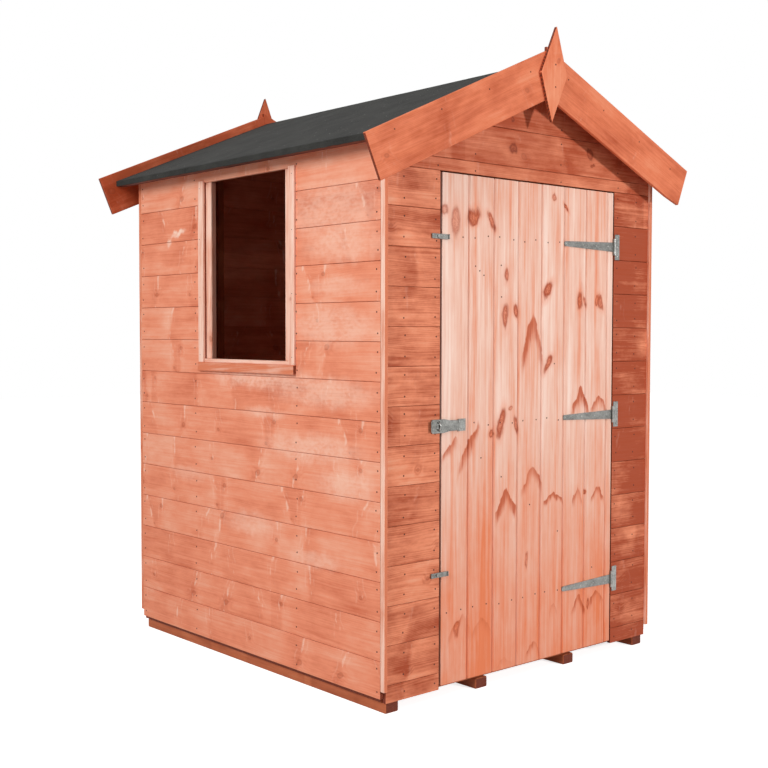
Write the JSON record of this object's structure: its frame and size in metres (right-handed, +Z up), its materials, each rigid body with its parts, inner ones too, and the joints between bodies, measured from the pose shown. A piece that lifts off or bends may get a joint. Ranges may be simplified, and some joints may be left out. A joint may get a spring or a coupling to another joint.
{
  "type": "garden shed",
  "caption": "Small timber apex garden shed with shiplap walls, a ledged and braced door in the front gable, an open window hole in one side, a felted roof and a boarded floor.",
  "frame": {"origin": "on the ground under the middle of the shed", "axes": "+Z up; the front gable with the door faces -Y; the wall with the window faces -X"},
  "size_m": [1.454, 1.514, 2.0152],
  "materials": {
    "wall_boards": "planed softwood shiplap dipped in an orange-red preservative, dry and matt",
    "roof_timber": "planed softwood in the same orange-red preservative, matt",
    "framing": "sawn softwood, dipped, matt",
    "trim_timber": "thin planed softwood strip, paler than the boards, matt",
    "door_timber": "tongued and grooved softwood, pale where the preservative took less, matt",
    "roof_felt": "mineral-faced bitumen roofing felt, matt and mottled",
    "zinc_plate": "bright zinc-plated sheet steel, satin"
  },
  "bodies": {
    "shed": {"bearers": "framing", "floor": "framing", "left_wall_front": "wall_boards", "left_wall_rear": "wall_boards", "left_wall_lower": "wall_boards", "left_wall_upper": "wall_boards", "right_wall": "wall_boards", "rear_wall": "wall_boards", "front_wall_left": "wall_boards", "front_wall_right": "wall_boards", "front_gable": "wall_boards", "left_wall_frame": "framing", "right_wall_frame": "framing", "rear_wall_frame": "framing", "front_wall_frame": "framing", "corner_strips": "trim_timber", "window_trims": "trim_timber", "window_frame": "trim_timber", "window_sill": "trim_timber", "left_roof_boards": "roof_timber", "right_roof_boards": "roof_timber", "roof_battens": "roof_timber", "left_felt": "roof_felt", "right_felt": "roof_felt", "front_left_bargeboard": "roof_timber", "front_right_bargeboard": "roof_timber", "rear_left_bargeboard": "roof_timber", "rear_right_bargeboard": "roof_timber", "front_finial": "roof_timber", "rear_finial": "roof_timber", "upper_hinge_plate": "zinc_plate", "middle_hinge_plate": "zinc_plate", "lower_hinge_plate": "zinc_plate", "hasp_staple": "zinc_plate", "turn_button_screws": "zinc_plate"},
    "door": {"door_boards": "door_timber", "door_ledges": "door_timber", "door_braces": "door_timber", "upper_hinge_strap": "zinc_plate", "middle_hinge_strap": "zinc_plate", "lower_hinge_strap": "zinc_plate", "hasp_door_plate": "zinc_plate"},
    "hasp": {"hasp_strap": "zinc_plate"},
    "upper_button": {"upper_turn_button": "zinc_plate"},
    "lower_button": {"lower_turn_button": "zinc_plate"}
  },
  "joints": [
    {"name": "door_hinge", "type": "hinge", "parent": "shed", "child": "door", "pos_m": [0.4095, -0.6763, 0.8106], "axis": [0, 0, 1], "range_deg": [0, 150]},
    {"name": "hasp_hinge", "type": "hinge", "parent": "door", "child": "hasp", "pos_m": [-0.314, -0.6748, 0.8106], "axis": [0, 0, 1], "range_deg": [0, 170]},
    {"name": "upper_button_turn", "type": "hinge", "parent": "shed", "child": "upper_button", "pos_m": [-0.402, -0.6753, 1.3616], "axis": [0, 1, 0], "continuous": true},
    {"name": "lower_button_turn", "type": "hinge", "parent": "shed", "child": "lower_button", "pos_m": [-0.402, -0.6753, 0.3746], "axis": [0, 1, 0], "continuous": true}
  ]
}
